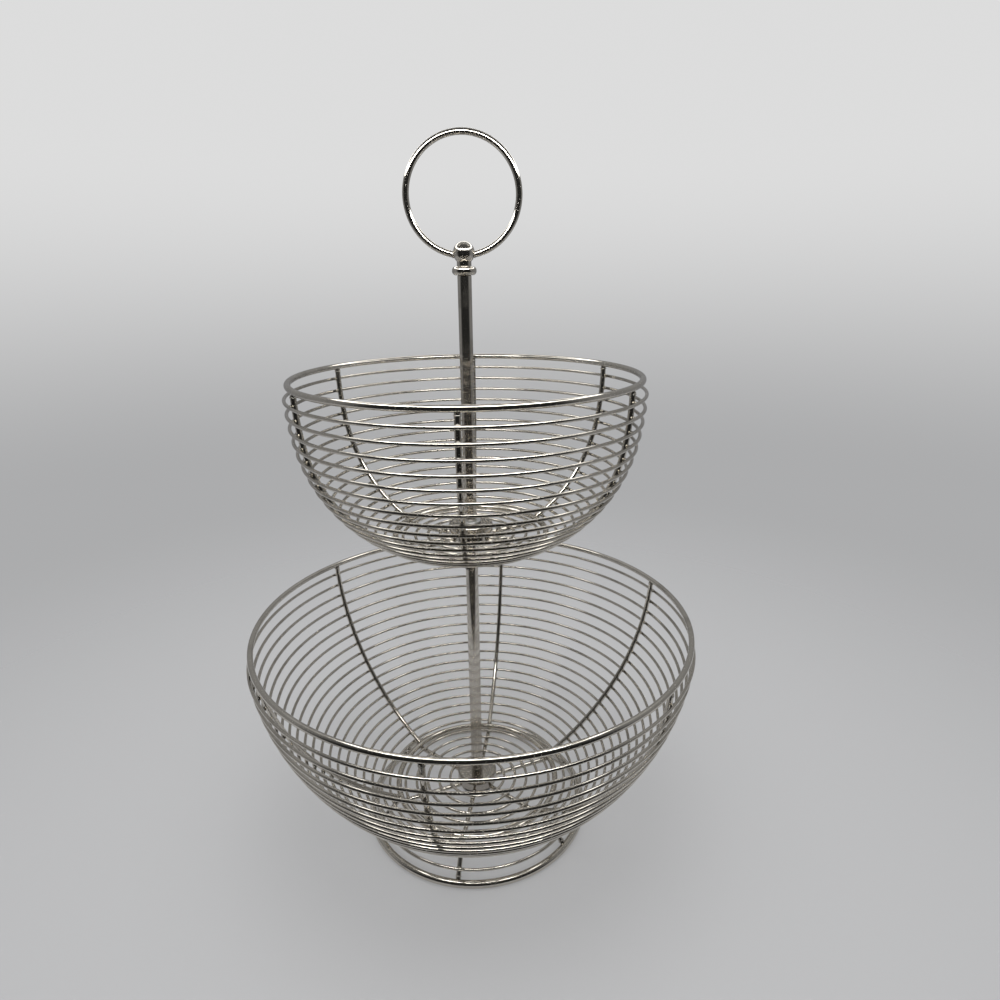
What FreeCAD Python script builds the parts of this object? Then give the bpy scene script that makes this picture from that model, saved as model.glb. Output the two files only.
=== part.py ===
import FreeCAD
import Part

import math
import os

# Two-tier wire basket: a large welded wire bowl on a ring foot, a smaller bowl above it, and a
# post in two screwed lengths with a ring handle on top.
# Millimetres. Z is up, the origin is on the floor under the post, and the handle faces along Y.

# Wire diameters
RIM_WIRE = 3.6
RIB_WIRE = 3.3
HOOP_WIRE = 2.0
BASE_RING_WIRE = 4.0
FOOT_RING_WIRE = 5.0
HANDLE_WIRE = 3.6

# Clearances
WELD_GAP = 0.05  # between wires that are welded to each other
SEAT_GAP = 0.05  # between flat faces that turn or lift off each other
BORE_CLEARANCE = 0.05  # radial, round what passes through a bore

# What both bowls share
RIB_COUNT = 6
HOOP_TAPER = 0.77  # the last space between wall hoops, as a share of the first
HOOP_SETBACK = 5.9  # along the rib, from the last wall hoop to the middle of the base ring
SPOKE_SETBACK = 0.5  # from the middle of the base ring to the outer end of a floor spoke
SPOKE_CLEARANCE = 3.5  # from the post to the inner end of a floor spoke
FLOOR_HOOP_CLEARANCE = 5.8  # from the hub to the middle of the first floor hoop
FLOOR_HOOP_SETBACK = 4.6  # from the last floor hoop to the middle of the base ring

# Lower bowl: its rib line is a lip arc below the rim and a bowl arc down to the base ring
LOWER_RIM_RADIUS = 140.1
LOWER_LIP_BEND = 63.0
LOWER_LIP_ANGLE = 7.0
LOWER_BOWL_BEND = 160.3
LOWER_BASE_RADIUS = 56.2
LOWER_BASE_HEIGHT = 21.0
LOWER_HOOPS = 20
LOWER_FLOOR_HOOPS = 5
LOWER_RIB_TURN = 8.0  # degrees from the back, clockwise seen from above

# Upper bowl, of the same build
UPPER_RIM_RADIUS = 101.7
UPPER_LIP_BEND = 179.0
UPPER_LIP_ANGLE = 10.6
UPPER_BOWL_BEND = 89.6
UPPER_BASE_RADIUS = 47.5
UPPER_HOOPS = 16
UPPER_FLOOR_HOOPS = 4
UPPER_RIB_TURN = 0.0

# Foot
FOOT_RING_RADIUS = 75.5
FOOT_HOOP_HEIGHT = 10.0

# Hubs and the screw under the lower one
HUB_DIAMETER = 27.5
HUB_HEIGHT = 8.9
HUB_ROUNDING = 1.5
HUB_SOCKET_DEPTH = 4.0
SCREW_DIAMETER = 5.0
SCREW_GRIP = 8.0  # length of the screw inside the post
SCREW_HEAD_DIAMETER = 9.5
SCREW_HEAD_HEIGHT = 3.0
SCREW_HEAD_ROUNDING = 1.2
HUB_WASHER_DIAMETER = 24.0
HUB_WASHER_THICKNESS = 1.2

# Post, and the stud and washer that clamp the upper bowl
POST_DIAMETER = 8.0
LOWER_POST_LENGTH = 184.9
UPPER_POST_LENGTH = 146.1
STUD_DIAMETER = 5.0
STUD_FOOT_GRIP = 10.0  # length of the stud inside the lower post
STUD_HEAD_GRIP = 6.4  # length of the stud inside the upper post
HOLE_SPARE = 1.5  # a tapped hole goes this much deeper than what screws into it
CLAMP_WASHER_DIAMETER = 13.0
CLAMP_WASHER_THICKNESS = 1.2

# Finial and handle
COLLAR_DIAMETER = 13.8
COLLAR_HEIGHT = 4.8
COLLAR_ROUNDING = 2.2
NECK_DIAMETER = 8.2
NECK_HEIGHT = 1.0  # from the collar to the underside of the ball
BALL_DIAMETER = 12.2
SHANK_DIAMETER = 5.0
SHANK_LENGTH = 8.0
HANDLE_RADIUS = 30.85
HANDLE_DROP = 1.4  # the handle wire crosses the ball this far under its middle


class RibLine:
    """A rib's middle line in the radial plane, from the rim's middle to the base ring's middle."""

    def __init__(self, rim_radius, lip_bend, lip_angle, bowl_bend, base_radius, base_height):
        self.rim_radius = rim_radius
        self.base_radius = base_radius
        self.base_height = base_height
        self.lip_bend = lip_bend
        self.bowl_bend = bowl_bend
        self.lip_angle = math.radians(lip_angle)
        self.lip_centre = rim_radius - lip_bend
        step = lip_bend - bowl_bend
        self.bowl_centre = self.lip_centre + step * math.cos(self.lip_angle)
        self.end_angle = math.acos((base_radius - self.bowl_centre) / bowl_bend)
        self.bowl_centre_height = base_height + bowl_bend * math.sin(self.end_angle)
        self.rim_height = self.bowl_centre_height + step * math.sin(self.lip_angle)
        self.lip_length = lip_bend * self.lip_angle
        self.length = self.lip_length + bowl_bend * (self.end_angle - self.lip_angle)

    def point(self, along, outside=0.0):
        """Radius and height at a distance along the line, and so far outside it, square to it."""
        past_lip = along - self.lip_length
        if past_lip <= 0:
            bend = self.lip_bend + outside
            angle = along / self.lip_bend
            return self.lip_centre + bend * math.cos(angle), self.rim_height - bend * math.sin(angle)
        bend = self.bowl_bend + outside
        angle = self.lip_angle + past_lip / self.bowl_bend
        return self.bowl_centre + bend * math.cos(angle), self.bowl_centre_height - bend * math.sin(angle)


def at(radius, height):
    """A place in the radial plane along X."""
    return FreeCAD.Vector(radius, 0, height)


def ring(radius, height, wire):
    """A closed round wire ring, level, about the post."""
    return Part.makeTorus(radius, wire / 2, at(0, height))


def rod(diameter, bottom, top):
    """A round bar along the post's axis."""
    return Part.makeCylinder(diameter / 2, top - bottom, at(0, bottom))


def straight_wire(wire, start, end):
    """A straight round wire with square ends."""
    along = end - start
    return Part.makeCylinder(wire / 2, along.Length, start, along)


def round_rim(solid, diameter, height, rounding):
    """Rounds the circular edge of this diameter at this height."""
    edges = []
    for edge in solid.Edges:
        circle = edge.Curve
        if isinstance(circle, Part.Circle) and abs(circle.Center.z - height) < 1e-6:
            if abs(2 * circle.Radius - diameter) < 1e-6:
                edges.append(edge)
    return solid.makeFillet(rounding, edges)


def round_the_post(solid, turn):
    """Copies a solid made along X to every rib's place, as a group of separate solids."""
    copies = []
    for k in range(RIB_COUNT):
        copy = solid.copy()
        copy.rotate(at(0, 0), FreeCAD.Vector(0, 0, 1), 90 - turn - k * 360 / RIB_COUNT)
        copies.append(copy)
    return Part.makeCompound(copies)


def rib(line):
    """A rib from under the rim to the base ring, which its end meets square on."""
    start = RIM_WIRE / 2 + WELD_GAP
    join = line.lip_length
    end = line.length - BASE_RING_WIRE / 2 - WELD_GAP
    arcs = []
    for first, last in ((start, join), (join, end)):
        ends_and_middle = [at(*line.point(s)) for s in (first, (first + last) / 2, last)]
        arcs.append(Part.Arc(*ends_and_middle).toShape())
    path = Part.Wire(arcs)
    tangent = arcs[0].tangentAt(arcs[0].FirstParameter)
    section = Part.Wire(Part.makeCircle(RIB_WIRE / 2, at(*line.point(start)), tangent))
    return path.makePipeShell([section], True, False)


def wall_hoops(line, count):
    """The thin rings round the outside of the ribs, a little closer together towards the base."""
    outside = RIB_WIRE / 2 + WELD_GAP + HOOP_WIRE / 2
    spaces = [1 + (HOOP_TAPER - 1) * k / (count - 1) for k in range(count)]
    unit = (line.length - HOOP_SETBACK) / sum(spaces)
    hoops = []
    for k in range(count):
        radius, height = line.point(unit * sum(spaces[: k + 1]), outside)
        hoops.append(ring(radius, height, HOOP_WIRE))
    return hoops


def spoke_height(base_height):
    """Middle of the floor spokes, which are welded under the base ring."""
    return base_height - BASE_RING_WIRE / 2 - WELD_GAP - RIB_WIRE / 2


def hub_bottom(base_height):
    """The hub stands on the floor spokes."""
    return spoke_height(base_height) + RIB_WIRE / 2 + WELD_GAP


def base_height_over(hub_height):
    """Middle of the base ring of a bowl whose hub stands at this height."""
    return hub_height - hub_bottom(0)


def floor_spoke(line):
    """A straight floor wire from beside the post to under the base ring."""
    height = spoke_height(line.base_height)
    inner = POST_DIAMETER / 2 + SPOKE_CLEARANCE
    return straight_wire(RIB_WIRE, at(inner, height), at(line.base_radius - SPOKE_SETBACK, height))


def floor_hoops(line, count):
    """The thin rings on the floor spokes, evenly spaced between the hub and the base ring."""
    height = spoke_height(line.base_height) + RIB_WIRE / 2 + WELD_GAP + HOOP_WIRE / 2
    first = HUB_DIAMETER / 2 + FLOOR_HOOP_CLEARANCE
    space = (line.base_radius - FLOOR_HOOP_SETBACK - first) / (count - 1)
    return Part.makeCompound([ring(first + k * space, height, HOOP_WIRE) for k in range(count)])


def bowl(name, line, hoop_count, floor_hoop_count, rib_turn):
    """Every wire of one bowl."""
    nodes = {
        name + "_rim": ring(line.rim_radius, line.rim_height, RIM_WIRE),
        name + "_ribs": round_the_post(rib(line), rib_turn),
        name + "_base_ring": ring(line.base_radius, line.base_height, BASE_RING_WIRE),
        name + "_floor_spokes": round_the_post(floor_spoke(line), rib_turn),
        name + "_floor_hoops": floor_hoops(line, floor_hoop_count),
    }
    for k, hoop in enumerate(wall_hoops(line, hoop_count), 1):
        nodes[f"{name}_hoop_{k:02d}"] = hoop
    return nodes


def foot(line):
    """The floor ring, six sloping struts up to the base ring, and a thin hoop round the struts."""
    top = at(line.base_radius, line.base_height)
    bottom = at(FOOT_RING_RADIUS, FOOT_RING_WIRE / 2)
    down = (bottom - top).normalize()
    start = top + down * (BASE_RING_WIRE / 2 + WELD_GAP)
    end = bottom - down * (FOOT_RING_WIRE / 2 + WELD_GAP)
    outwards = FreeCAD.Vector(-down.z, 0, down.x)
    away = outwards * (RIB_WIRE / 2 + WELD_GAP + HOOP_WIRE / 2)
    hoop_on_strut = top + down * ((FOOT_HOOP_HEIGHT - away.z - top.z) / down.z)
    hoop = hoop_on_strut + away
    return {
        "foot_ring": ring(FOOT_RING_RADIUS, FOOT_RING_WIRE / 2, FOOT_RING_WIRE),
        "foot_struts": round_the_post(straight_wire(RIB_WIRE, start, end), LOWER_RIB_TURN),
        "foot_hoop": ring(hoop.x, hoop.z, HOOP_WIRE),
    }


def lower_hub(bottom):
    """A turned disc with a socket for the post and a hole for the screw."""
    top = bottom + HUB_HEIGHT
    disc = round_rim(rod(HUB_DIAMETER, bottom, top), HUB_DIAMETER, top, HUB_ROUNDING)
    socket = rod(POST_DIAMETER + 2 * BORE_CLEARANCE, top - HUB_SOCKET_DEPTH, top)
    hole = rod(SCREW_DIAMETER + 2 * BORE_CLEARANCE, bottom, top)
    return disc.cut(socket).cut(hole)


def upper_hub(bottom):
    """A turned disc with a hole for the stud, on which the upper bowl can turn."""
    top = bottom + HUB_HEIGHT
    disc = round_rim(rod(HUB_DIAMETER, bottom, top), HUB_DIAMETER, top, HUB_ROUNDING)
    return disc.cut(rod(STUD_DIAMETER + 2 * BORE_CLEARANCE, bottom, top))


def hub_fixing(line, post_bottom):
    """The screw under the lower bowl, and the washer that holds the spokes up to the hub."""
    washer_top = spoke_height(line.base_height) - RIB_WIRE / 2 - WELD_GAP
    washer_bottom = washer_top - HUB_WASHER_THICKNESS
    head_bottom = washer_bottom - SCREW_HEAD_HEIGHT
    washer = rod(HUB_WASHER_DIAMETER, washer_bottom, washer_top)
    washer = washer.cut(rod(SCREW_DIAMETER + 2 * BORE_CLEARANCE, washer_bottom, washer_top))
    head = rod(SCREW_HEAD_DIAMETER, head_bottom, washer_bottom)
    head = round_rim(head, SCREW_HEAD_DIAMETER, head_bottom, SCREW_HEAD_ROUNDING)
    shank = rod(SCREW_DIAMETER, washer_bottom, post_bottom + SCREW_GRIP)
    return {"hub_washer": washer, "hub_screw": head.fuse(shank).removeSplitter()}


def drilled_rod(bottom, top, low_hole, low_depth, high_hole, high_depth):
    """A length of post with a tapped hole in each end."""
    solid = rod(POST_DIAMETER, bottom, top)
    solid = solid.cut(rod(low_hole + 2 * BORE_CLEARANCE, bottom, bottom + low_depth + HOLE_SPARE))
    return solid.cut(rod(high_hole + 2 * BORE_CLEARANCE, top - high_depth - HOLE_SPARE, top))


def clamp_washer(bottom):
    """The washer between the upper bowl's hub and the upper post."""
    top = bottom + CLAMP_WASHER_THICKNESS
    disc = rod(CLAMP_WASHER_DIAMETER, bottom, top)
    return disc.cut(rod(STUD_DIAMETER + 2 * BORE_CLEARANCE, bottom, top))


def finial(bottom):
    """The bead collar, the ball with its neck and shank, and the ring handle through the ball."""
    collar_top = bottom + COLLAR_HEIGHT
    collar = rod(COLLAR_DIAMETER, bottom, collar_top)
    collar = round_rim(collar, COLLAR_DIAMETER, bottom, COLLAR_ROUNDING)
    collar = round_rim(collar, COLLAR_DIAMETER, collar_top, COLLAR_ROUNDING)
    collar = collar.cut(rod(SHANK_DIAMETER + 2 * BORE_CLEARANCE, bottom, collar_top))
    ball_middle = collar_top + NECK_HEIGHT + BALL_DIAMETER / 2
    handle_middle = at(0, ball_middle - HANDLE_DROP + HANDLE_RADIUS)
    facing = FreeCAD.Vector(0, 1, 0)
    ball = Part.makeSphere(BALL_DIAMETER / 2, at(0, ball_middle))
    ball = ball.fuse(rod(NECK_DIAMETER, collar_top, ball_middle))
    ball = ball.fuse(rod(SHANK_DIAMETER, bottom - SHANK_LENGTH, ball_middle))
    wire_hole = Part.makeTorus(HANDLE_RADIUS, HANDLE_WIRE / 2 + BORE_CLEARANCE, handle_middle, facing)
    handle = Part.makeTorus(HANDLE_RADIUS, HANDLE_WIRE / 2, handle_middle, facing)
    return {
        "collar_bead": collar,
        "finial_ball": ball.removeSplitter().cut(wire_hole),
        "ring_handle": handle,
    }


def whole_basket():
    """Every node, from the floor up."""
    lower = RibLine(LOWER_RIM_RADIUS, LOWER_LIP_BEND, LOWER_LIP_ANGLE, LOWER_BOWL_BEND,
                    LOWER_BASE_RADIUS, LOWER_BASE_HEIGHT)
    lower_hub_bottom = hub_bottom(LOWER_BASE_HEIGHT)
    post_bottom = lower_hub_bottom + HUB_HEIGHT - HUB_SOCKET_DEPTH
    post_top = post_bottom + LOWER_POST_LENGTH
    upper_hub_bottom = post_top + SEAT_GAP
    upper = RibLine(UPPER_RIM_RADIUS, UPPER_LIP_BEND, UPPER_LIP_ANGLE, UPPER_BOWL_BEND,
                    UPPER_BASE_RADIUS, base_height_over(upper_hub_bottom))
    washer_bottom = upper_hub_bottom + HUB_HEIGHT + SEAT_GAP
    upper_post_bottom = washer_bottom + CLAMP_WASHER_THICKNESS + SEAT_GAP
    upper_post_top = upper_post_bottom + UPPER_POST_LENGTH
    nodes = foot(lower)
    nodes.update(bowl("lower", lower, LOWER_HOOPS, LOWER_FLOOR_HOOPS, LOWER_RIB_TURN))
    nodes["lower_hub"] = lower_hub(lower_hub_bottom)
    nodes.update(hub_fixing(lower, post_bottom))
    nodes["lower_post"] = drilled_rod(post_bottom, post_top, SCREW_DIAMETER, SCREW_GRIP,
                                      STUD_DIAMETER, STUD_FOOT_GRIP)
    nodes["post_stud"] = rod(STUD_DIAMETER, post_top - STUD_FOOT_GRIP, upper_post_bottom + STUD_HEAD_GRIP)
    nodes.update(bowl("upper", upper, UPPER_HOOPS, UPPER_FLOOR_HOOPS, UPPER_RIB_TURN))
    nodes["upper_hub"] = upper_hub(upper_hub_bottom)
    nodes["clamp_washer"] = clamp_washer(washer_bottom)
    nodes["upper_post"] = drilled_rod(upper_post_bottom, upper_post_top, STUD_DIAMETER, STUD_HEAD_GRIP,
                                      SHANK_DIAMETER, SHANK_LENGTH)
    nodes.update(finial(upper_post_top))
    return nodes


os.makedirs("parts", exist_ok=True)
for node_name, solid in whole_basket().items():
    solid.exportStep(f"parts/{node_name}.step")
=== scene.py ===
import cmath
import functools
import math

import bmesh
import bpy
from bpy.props import FloatProperty, FloatVectorProperty, IntProperty, PointerProperty
from mathutils import Matrix, Vector


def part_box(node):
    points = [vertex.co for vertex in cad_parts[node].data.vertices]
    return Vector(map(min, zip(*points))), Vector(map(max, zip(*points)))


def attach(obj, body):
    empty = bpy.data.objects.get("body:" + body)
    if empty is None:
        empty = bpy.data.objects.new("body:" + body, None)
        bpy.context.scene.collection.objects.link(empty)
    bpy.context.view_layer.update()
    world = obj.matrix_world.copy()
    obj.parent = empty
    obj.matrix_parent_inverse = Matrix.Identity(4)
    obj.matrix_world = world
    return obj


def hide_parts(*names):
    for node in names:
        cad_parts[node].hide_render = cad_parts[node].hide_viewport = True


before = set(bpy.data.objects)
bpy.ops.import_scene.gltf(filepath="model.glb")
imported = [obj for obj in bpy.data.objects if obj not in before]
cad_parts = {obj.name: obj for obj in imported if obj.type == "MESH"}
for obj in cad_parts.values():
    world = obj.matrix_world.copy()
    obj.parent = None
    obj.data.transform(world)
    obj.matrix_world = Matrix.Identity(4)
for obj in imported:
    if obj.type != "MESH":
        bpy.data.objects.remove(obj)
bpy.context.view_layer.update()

bl_info = {
    "name": "Tiered Wire Basket",
    "version": (1, 0, 0),
    "blender": (4, 5, 0),
    "location": "View3D > Sidebar > Basket",
    "description": "Plated finishes, welds, turned and threaded pieces of a tiered wire basket",
    "category": "Object",
}

MM = 0.001
BOWL_BODY = {"lower": "lower_tier", "upper": "upper_basket"}
RIB_COUNT = 6
UP = Vector((0, 0, 1))
SAME_PLACE = 0.001 * MM


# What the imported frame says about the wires

@functools.cache
def ring_size(node):
    """Radius to the wire's middle, height of the middle and wire diameter of a level ring."""
    low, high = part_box(node)
    wire = high.z - low.z
    return (high.x - low.x - wire) / 2, (high.z + low.z) / 2, wire


def wall_hoops(bowl):
    """Names of a bowl's wall hoops, from the rim down."""
    return sorted(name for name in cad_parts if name.startswith(bowl + "_hoop_"))


@functools.cache
def rib_angles(bowl):
    """Angles of a bowl's ribs about the post, read off the floor spokes, which lie under them."""
    total = sum(cmath.exp(RIB_COUNT * 1j * math.atan2(v.co.y, v.co.x))
                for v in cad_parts[bowl + "_floor_spokes"].data.vertices)
    first = cmath.phase(total) / RIB_COUNT
    return [first + k * math.tau / RIB_COUNT for k in range(RIB_COUNT)]


@functools.cache
def wire_of_ribs(bowl):
    """Diameter of the wire that ribs and floor spokes share."""
    low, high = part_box(bowl + "_floor_spokes")
    return high.z - low.z


def round_the_post(angle, radius, height):
    """A point at an angle about the post, with the outward and the sideways direction there."""
    out = Vector((math.cos(angle), math.sin(angle), 0))
    return out * radius + UP * height, out, UP.cross(out)


# Sizes and colours that a user would change

class BasketFinishSettings(bpy.types.PropertyGroup):
    """Colours and gloss of the plated steel."""

    wire_colour: FloatVectorProperty(
        name="Wire", description="Bright plating on the wires", subtype="COLOR", size=3,
        default=(0.60, 0.57, 0.515), min=0, max=1)
    dull_colour: FloatVectorProperty(
        name="Dull Patches", description="Plating where it has lost its shine", subtype="COLOR", size=3,
        default=(0.46, 0.435, 0.39), min=0, max=1)
    post_colour: FloatVectorProperty(
        name="Post", description="Plating on the post and the finial", subtype="COLOR", size=3,
        default=(0.60, 0.57, 0.52), min=0, max=1)
    # Painted shade: darker than the plating itself, for the shade under the upper bowl that the hubs mirror
    hub_colour: FloatVectorProperty(
        name="Hub", description="Plating on the turned hubs", subtype="COLOR", size=3,
        default=(0.44, 0.415, 0.375), min=0, max=1)
    zinc_colour: FloatVectorProperty(
        name="Fasteners", description="Zinc on the screw, the stud and the washers", subtype="COLOR", size=3,
        default=(0.60, 0.61, 0.62), min=0, max=1)
    dull_zinc_colour: FloatVectorProperty(
        name="Dull Fasteners", description="Zinc where it has lost its shine", subtype="COLOR", size=3,
        default=(0.42, 0.42, 0.40), min=0, max=1)
    weld_colour: FloatVectorProperty(
        name="Welds", description="Plating over the welds", subtype="COLOR", size=3,
        default=(0.30, 0.285, 0.26), min=0, max=1)
    wire_roughness: FloatProperty(
        name="Wire Roughness", description="Roughness of clean plated wire", subtype="FACTOR",
        default=0.06, min=0, max=1)
    post_roughness: FloatProperty(
        name="Post Roughness", description="Roughness of the clean post", subtype="FACTOR",
        default=0.09, min=0, max=1)
    hub_roughness: FloatProperty(
        name="Hub Roughness", description="Roughness of the turned faces", subtype="FACTOR",
        default=0.13, min=0, max=1)
    zinc_roughness: FloatProperty(
        name="Fastener Roughness", description="Roughness of the zinc", subtype="FACTOR",
        default=0.32, min=0, max=1)
    weld_roughness: FloatProperty(
        name="Weld Roughness", description="Roughness of the welds", subtype="FACTOR",
        default=0.42, min=0, max=1)


class BasketDetailSettings(bpy.types.PropertyGroup):
    """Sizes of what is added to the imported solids."""

    weld_spread: FloatProperty(
        name="Weld Spread", description="How far a weld reaches beside the wire that it holds", unit="LENGTH",
        default=0.45 * MM, min=0, max=2 * MM)
    weld_depth: FloatProperty(
        name="Weld Depth", description="Half the thickness of a weld between two wires", unit="LENGTH",
        default=0.6 * MM, min=0, max=2 * MM)
    seam_length: FloatProperty(
        name="Seam Length", description="Half the length of the joint that closes a wire ring", unit="LENGTH",
        default=1.5 * MM, min=0, max=5 * MM)
    seam_swell: FloatProperty(
        name="Seam Swell", description="Thickness of that joint as a share of the wire", subtype="FACTOR",
        default=1.06, min=1, max=1.3)
    seam_place: FloatProperty(
        name="Seam Place", description="How far a ring's joint lies from the nearest rib", unit="LENGTH",
        default=4.0 * MM, min=0, max=20 * MM)
    post_rounding: FloatProperty(
        name="Post Rounding", description="Radius on the ends of the post", unit="LENGTH",
        default=0.5 * MM, min=0, max=2 * MM)
    washer_rounding: FloatProperty(
        name="Washer Rounding", description="Radius on the rolled edge of a washer", unit="LENGTH",
        default=0.35 * MM, min=0, max=0.5 * MM)
    head_rounding: FloatProperty(
        name="Head Rounding", description="Radius on the edge of the screw's head", unit="LENGTH",
        default=1.2 * MM, min=0, max=2 * MM)
    head_height: FloatProperty(
        name="Head Height", description="Height of the screw's head", unit="LENGTH",
        default=3.0 * MM, min=1 * MM, max=6 * MM)
    thread_pitch: FloatProperty(
        name="Thread Pitch", description="Rise of the screw threads for each turn", unit="LENGTH",
        default=0.8 * MM, min=0.2 * MM, max=2 * MM)
    bore_spare: FloatProperty(
        name="Bore Spare", description="How far a bore in the post goes beyond the screw in it",
        unit="LENGTH", default=1.5 * MM, min=0, max=5 * MM)
    bore_play: FloatProperty(
        name="Bore Play", description="Room between the stud and the bore in the post", unit="LENGTH",
        default=0.05 * MM, min=0, max=1 * MM)
    washer_play: FloatProperty(
        name="Washer Play", description="Room between the stud and a washer's hole", unit="LENGTH",
        default=0.15 * MM, min=0, max=1 * MM)
    turned_steps: IntProperty(
        name="Turned Steps", description="Faces round a turned piece", default=96, min=12, max=256)


class BasketStageSettings(bpy.types.PropertyGroup):
    """Floor, light and camera."""

    floor_colour: FloatVectorProperty(
        name="Floor", description="Pale paper under the basket", subtype="COLOR", size=3,
        default=(0.54, 0.542, 0.55), min=0, max=1)
    low_background: FloatVectorProperty(
        name="Low Background", description="Background at the height of the floor's far edge",
        subtype="COLOR", size=3, default=(0.41, 0.412, 0.418), min=0, max=1)
    floor_glow: FloatVectorProperty(
        name="Floor Glow", description="Light that the floor gives back by itself", subtype="COLOR", size=3,
        default=(0.45, 0.452, 0.46), min=0, max=1)
    high_background: FloatVectorProperty(
        name="High Background", description="Background above the basket", subtype="COLOR", size=3,
        default=(0.72, 0.72, 0.72), min=0, max=1)
    floor_radius: FloatProperty(
        name="Floor Radius", description="Radius of the round floor", unit="LENGTH",
        default=1.4, min=1, max=20)
    soft_fill: FloatProperty(
        name="Soft Fill", description="Light from all round", default=0.80, min=0, max=2)
    lamp_power: FloatProperty(
        name="Lamp", description="Power of the round softbox overhead", unit="POWER",
        default=3.5, min=0, max=100)
    lamp_size: FloatProperty(
        name="Lamp Size", description="Diameter of the softbox", unit="LENGTH", default=0.6, min=0.05, max=5)
    lamp_place: FloatVectorProperty(
        name="Lamp Place", description="Where the softbox hangs", subtype="TRANSLATION", unit="LENGTH",
        size=3, default=(0, -0.15, 1.1))
    ring_radius: FloatProperty(
        name="Ring Lamp", description="Radius of the ring lamp", unit="LENGTH",
        default=0.218, min=0.05, max=2)
    ring_height: FloatProperty(
        name="Ring Height", description="Height of the ring lamp", unit="LENGTH",
        default=0.515, min=0.1, max=3)
    ring_tube: FloatProperty(
        name="Ring Tube", description="Half the thickness of the ring lamp", unit="LENGTH",
        default=24 * MM, min=1 * MM, max=100 * MM)
    ring_strength: FloatProperty(
        name="Ring Strength", description="Brightness of the ring lamp as the metal mirrors it",
        default=18.0, min=0, max=200)
    lens: FloatProperty(
        name="Lens", description="Focal length on a sensor 36 mm wide", unit="CAMERA",
        default=24.0, min=10, max=200)
    camera_place: FloatVectorProperty(
        name="Camera", description="Where the camera stands", subtype="TRANSLATION", unit="LENGTH", size=3,
        default=(18.65 * MM, -395.6 * MM, 364.7 * MM))
    camera_pitch: FloatProperty(
        name="Pitch", description="How far the camera looks down", subtype="ANGLE",
        default=math.radians(18.59))
    camera_roll: FloatProperty(
        name="Roll", description="How far the camera leans to one side", subtype="ANGLE",
        default=math.radians(-0.611))


# Shader nodes

# How many marks there are to a radian round a ring and to a metre along a bar
MARKS_ROUND_RING = 14.0
MARKS_ALONG_BAR = 60.0

# Noise values between which a dull patch and a speck begin
PATCH_EDGE = (0.46, 0.72)
SPECK_EDGE = (0.66, 0.74)

# What marks, dull patches and specks add to the roughness, and how deep specks lie next to marks
MARKS_ROUGHNESS = 0.06
MARKS_BALANCE = 0.02
DULL_ROUGHNESS = 0.07
SPECK_ROUGHNESS = 0.25
SPECK_DEPTH = 0.2


def add_node(tree, kind, **settings):
    """A node whose properties, or inputs by name, take these settings."""
    node = tree.nodes.new(kind)
    for key, value in settings.items():
        if hasattr(node, key):
            setattr(node, key, value)
        else:
            node.inputs[key.replace("_", " ")].default_value = value
    return node


def calculate(tree, operation, first, second=None, third=None):
    """A Math node on links or plain numbers, and its result."""
    node = tree.nodes.new("ShaderNodeMath")
    node.operation = operation
    for socket, value in zip(node.inputs, (first, second, third)):
        if value is None:
            continue
        if isinstance(value, bpy.types.NodeSocket):
            tree.links.new(value, socket)
        else:
            socket.default_value = value
    return node.outputs[0]


def spread(tree, value, low, high, to_low=0.0, to_high=1.0):
    """A smooth Map Range from low and high to two new ends, and its result."""
    node = tree.nodes.new("ShaderNodeMapRange")
    node.interpolation_type = "SMOOTHSTEP"
    tree.links.new(value, node.inputs["Value"])
    ends = {"From Min": low, "From Max": high, "To Min": to_low, "To Max": to_high}
    for name, end in ends.items():
        node.inputs[name].default_value = end
    return node.outputs["Result"]


def blend_colours(tree, factor, first, second):
    """A colour Mix of links or plain colours by a linked factor, and its result."""
    node = tree.nodes.new("ShaderNodeMix")
    node.data_type = "RGBA"
    sockets = {socket.identifier: socket for socket in node.inputs}
    tree.links.new(factor, sockets["Factor_Float"])
    for name, value in (("A_Color", first), ("B_Color", second)):
        if isinstance(value, bpy.types.NodeSocket):
            tree.links.new(value, sockets[name])
        else:
            sockets[name].default_value = (*value, 1.0)
    return next(socket for socket in node.outputs if socket.identifier == "Result_Color")


def noise(tree, vector, scale, detail, roughness):
    """A noise value on a vector."""
    node = add_node(tree, "ShaderNodeTexNoise", Scale=scale, Detail=detail, Roughness=roughness)
    tree.links.new(vector, node.inputs["Vector"])
    return node.outputs["Fac"]


def new_group(name, inputs, outputs):
    """An empty shader node group, with its input and output nodes."""
    group = bpy.data.node_groups.new(name, "ShaderNodeTree")
    for socket_name, kind, default in inputs:
        socket = group.interface.new_socket(socket_name, in_out="INPUT", socket_type=kind)
        if default is not None:
            socket.default_value = default
    for socket_name, kind in outputs:
        group.interface.new_socket(socket_name, in_out="OUTPUT", socket_type=kind)
    return group, group.nodes.new("NodeGroupInput"), group.nodes.new("NodeGroupOutput")


def flat_distance(tree, x, y):
    """Distance from the Z axis."""
    squares = [calculate(tree, "MULTIPLY", part, part) for part in (x, y)]
    return calculate(tree, "SQRT", calculate(tree, "ADD", *squares))


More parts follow.
